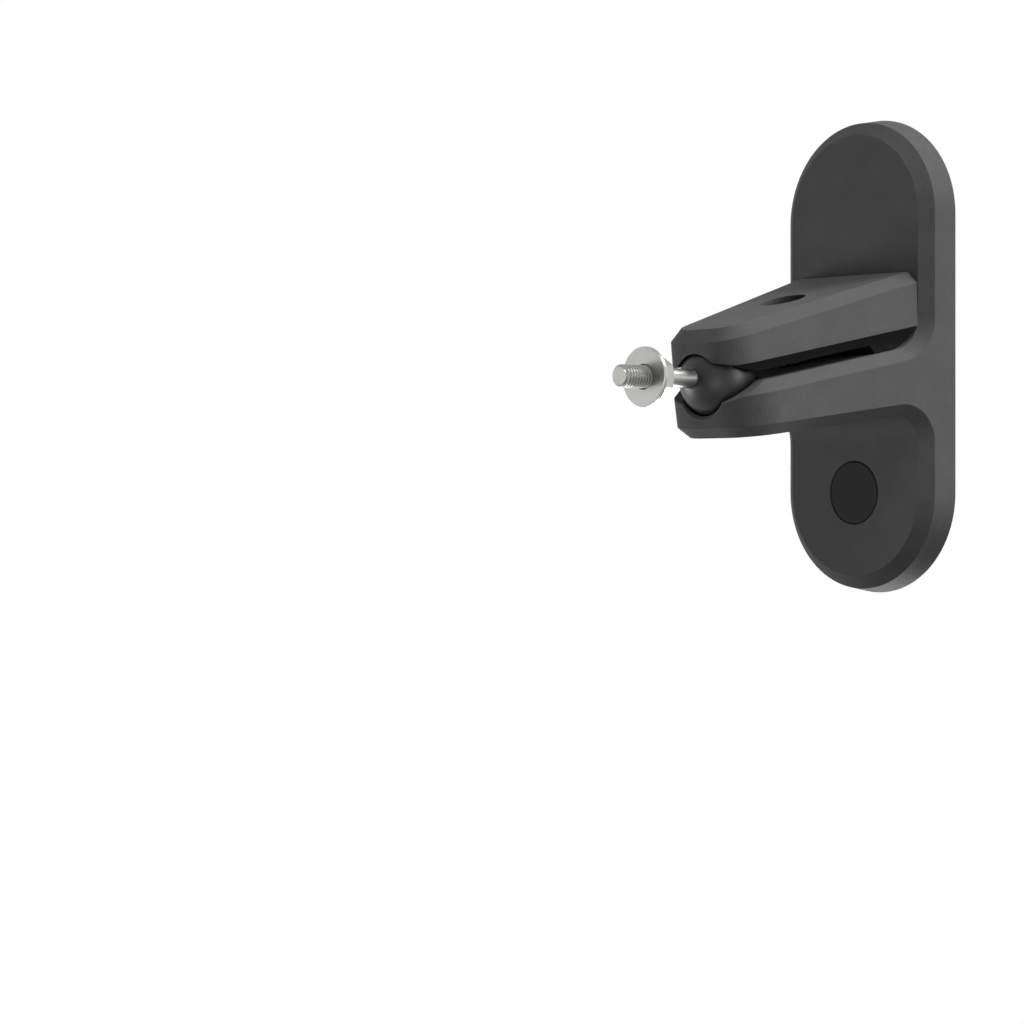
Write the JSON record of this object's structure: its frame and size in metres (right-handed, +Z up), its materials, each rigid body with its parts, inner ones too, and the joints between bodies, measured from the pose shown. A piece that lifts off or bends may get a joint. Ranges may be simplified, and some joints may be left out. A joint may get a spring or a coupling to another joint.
{
  "type": "speaker wall bracket",
  "caption": "Wall bracket for a small loudspeaker: upright rounded plate with a cast arm, a clamping upper jaw, a ball joint and a threaded stud with washer and nut.",
  "frame": {"origin": "middle of the plate's back face, on the wall plane", "axes": "+Z up, the arm reaches out along -Y, +Y into the wall, +X to the right seen from in front"},
  "size_m": [0.055, 0.0992, 0.13],
  "materials": {
    "coated_casting": "fine textured matte charcoal coating on a metal casting",
    "spacer": "matte black moulded plastic",
    "pad": "matte black friction pad",
    "ball": "satin black",
    "plated_steel": "zinc plated",
    "black_steel": "black oxide",
    "cap": "matte moulded"
  },
  "bodies": {
    "base": {"wall_plate": "coated_casting", "jaw_spring": "black_steel"},
    "jaw": {"upper_jaw": "coated_casting", "jaw_spacer": "spacer", "upper_pad": "pad"},
    "swivel": {"lower_pad": "pad"},
    "ball": {"ball": "ball"},
    "stud": {"stud": "plated_steel"},
    "stud_washer": {"stud_washer": "plated_steel"},
    "lock_nut": {"lock_nut": "plated_steel"},
    "clamp_washer": {"clamp_washer": "black_steel"},
    "clamp_screw": {"clamp_screw": "black_steel"},
    "cap": {"screw_cap": "cap"}
  },
  "joints": [
    {"name": "jaw_lift", "type": "hinge", "parent": "base", "child": "jaw", "pos_m": [0, -0.0105, 0.0217], "axis": [-1, 0, 0], "range_deg": [0, 2]},
    {"name": "clamp_washer_rise", "type": "slide", "parent": "base", "child": "clamp_washer", "axis": [0, -0.2028, 0.9792], "range_m": [0, 0.00151]},
    {"name": "clamp_screw_turn", "type": "hinge", "parent": "clamp_washer", "child": "clamp_screw", "pos_m": [0, -0.03488, -0.00312], "axis": [0, -0.2028, 0.9792], "range_deg": [0, 541]},
    {"name": "ball_swivel", "type": "hinge", "parent": "base", "child": "swivel", "pos_m": [0, -0.0635, -0.00793], "axis": [0, -0.2028, 0.9792], "range_deg": [-25, 25]},
    {"name": "ball_tilt", "type": "hinge", "parent": "swivel", "child": "ball", "pos_m": [0, -0.0635, -0.00793], "axis": [1, 0, 0], "range_deg": [-10, 35]},
    {"name": "stud_spin", "type": "hinge", "parent": "ball", "child": "stud", "pos_m": [0, -0.0635, -0.00793], "axis": [0, -1, 0], "range_deg": [-180, 180]},
    {"name": "stud_washer_slide", "type": "slide", "parent": "stud", "child": "stud_washer", "axis": [0, -1, 0], "range_m": [-0.002, 0.004]},
    {"name": "lock_nut_turn", "type": "hinge", "parent": "stud_washer", "child": "lock_nut", "pos_m": [0, -0.0635, -0.00793], "axis": [0, -1, 0], "range_deg": [-721, 1441]},
    {"name": "cap_pull", "type": "slide", "parent": "base", "child": "cap", "axis": [0, -1, 0], "range_m": [0, 0.02]}
  ],
  "couplings": [
    {"joint": "clamp_screw_turn", "follows": "jaw_lift", "ratio": 270},
    {"joint": "clamp_washer_rise", "follows": "jaw_lift", "m_per_rad": 0.04297},
    {"joint": "lock_nut_turn", "follows": "stud_washer_slide", "rad_per_m": 6283.2}
  ]
}
